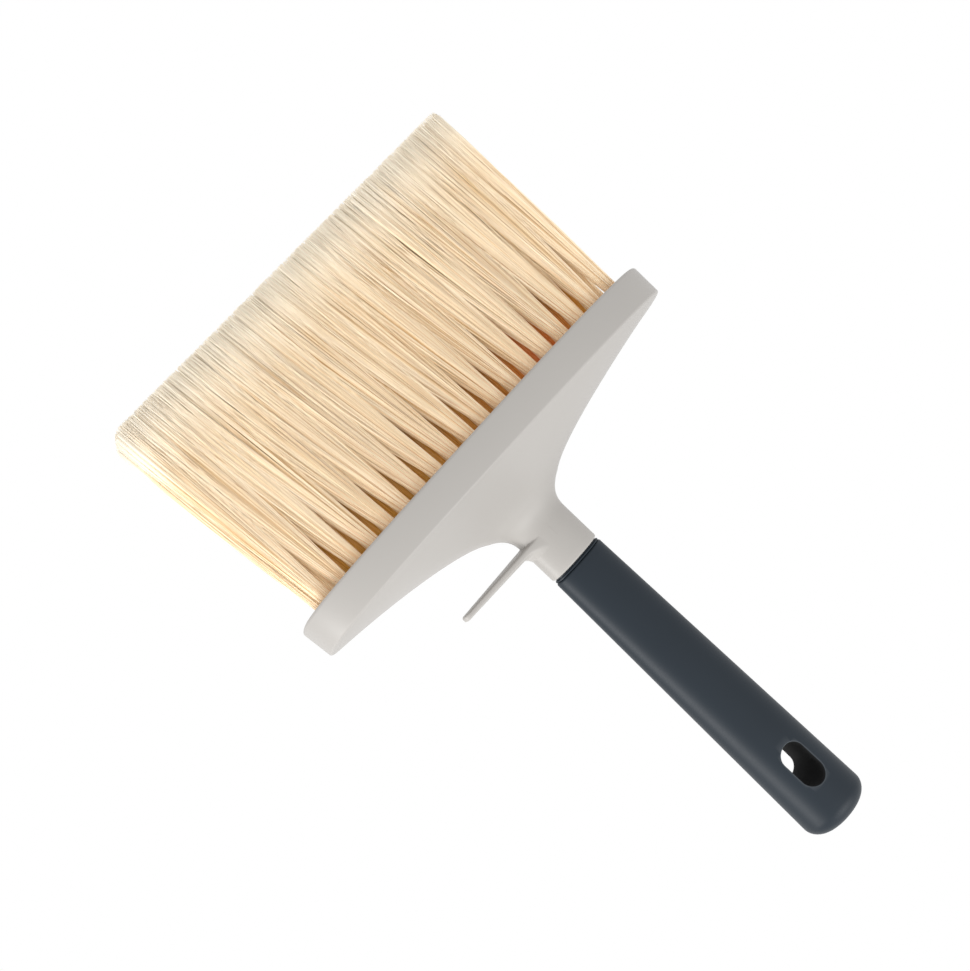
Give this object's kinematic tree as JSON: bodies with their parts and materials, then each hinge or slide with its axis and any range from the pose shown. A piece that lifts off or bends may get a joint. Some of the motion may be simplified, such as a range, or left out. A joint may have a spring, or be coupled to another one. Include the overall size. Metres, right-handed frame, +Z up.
{
  "type": "hand brush",
  "caption": "Wide hand brush with a lens-shaped moulded head, rows of long pale bristle tufts, a flat rim hook on the neck and a leaning soft grip with a hanging slot.",
  "frame": {"origin": "middle of the bristle tips, on the plane they stand on", "axes": "+Z up from the bristle tips to the head, +X along the brush's width towards the rim hook, +Y the way the handle leans back"},
  "size_m": [0.1592, 0.0748, 0.2497],
  "materials": {
    "head_plastic": "warm light grey moulded plastic, fine satin",
    "plate_plastic": "brown moulded plastic, drilled",
    "anchor_wire": "flat steel wire",
    "grip_rubber": "slate soft-touch rubber, low sheen",
    "bristle": "cream filament bundles, faint sheen along the length"
  },
  "bodies": {
    "root": {"head_shell": "head_plastic", "tuft_plate": "plate_plastic", "tuft_anchors": "anchor_wire", "grip_sleeve": "grip_rubber", "tuft_front_01": "bristle", "tuft_front_02": "bristle", "tuft_front_03": "bristle", "tuft_front_04": "bristle", "tuft_front_05": "bristle", "tuft_front_06": "bristle", "tuft_front_07": "bristle", "tuft_front_08": "bristle", "tuft_front_09": "bristle", "tuft_front_10": "bristle", "tuft_front_11": "bristle", "tuft_front_12": "bristle", "tuft_front_13": "bristle", "tuft_front_14": "bristle", "tuft_front_15": "bristle", "tuft_front_16": "bristle", "tuft_front_17": "bristle", "tuft_front_18": "bristle", "tuft_front_19": "bristle", "tuft_middle_01": "bristle", "tuft_middle_02": "bristle", "tuft_middle_03": "bristle", "tuft_middle_04": "bristle", "tuft_middle_05": "bristle", "tuft_middle_06": "bristle", "tuft_middle_07": "bristle", "tuft_middle_08": "bristle", "tuft_middle_09": "bristle", "tuft_middle_10": "bristle", "tuft_middle_11": "bristle", "tuft_middle_12": "bristle", "tuft_middle_13": "bristle", "tuft_middle_14": "bristle", "tuft_middle_15": "bristle", "tuft_middle_16": "bristle", "tuft_middle_17": "bristle", "tuft_middle_18": "bristle", "tuft_back_01": "bristle", "tuft_back_02": "bristle", "tuft_back_03": "bristle", "tuft_back_04": "bristle", "tuft_back_05": "bristle", "tuft_back_06": "bristle", "tuft_back_07": "bristle", "tuft_back_08": "bristle", "tuft_back_09": "bristle", "tuft_back_10": "bristle", "tuft_back_11": "bristle", "tuft_back_12": "bristle", "tuft_back_13": "bristle", "tuft_back_14": "bristle", "tuft_back_15": "bristle", "tuft_back_16": "bristle", "tuft_back_17": "bristle", "tuft_back_18": "bristle", "tuft_back_19": "bristle"}
  },
  "joints": []
}
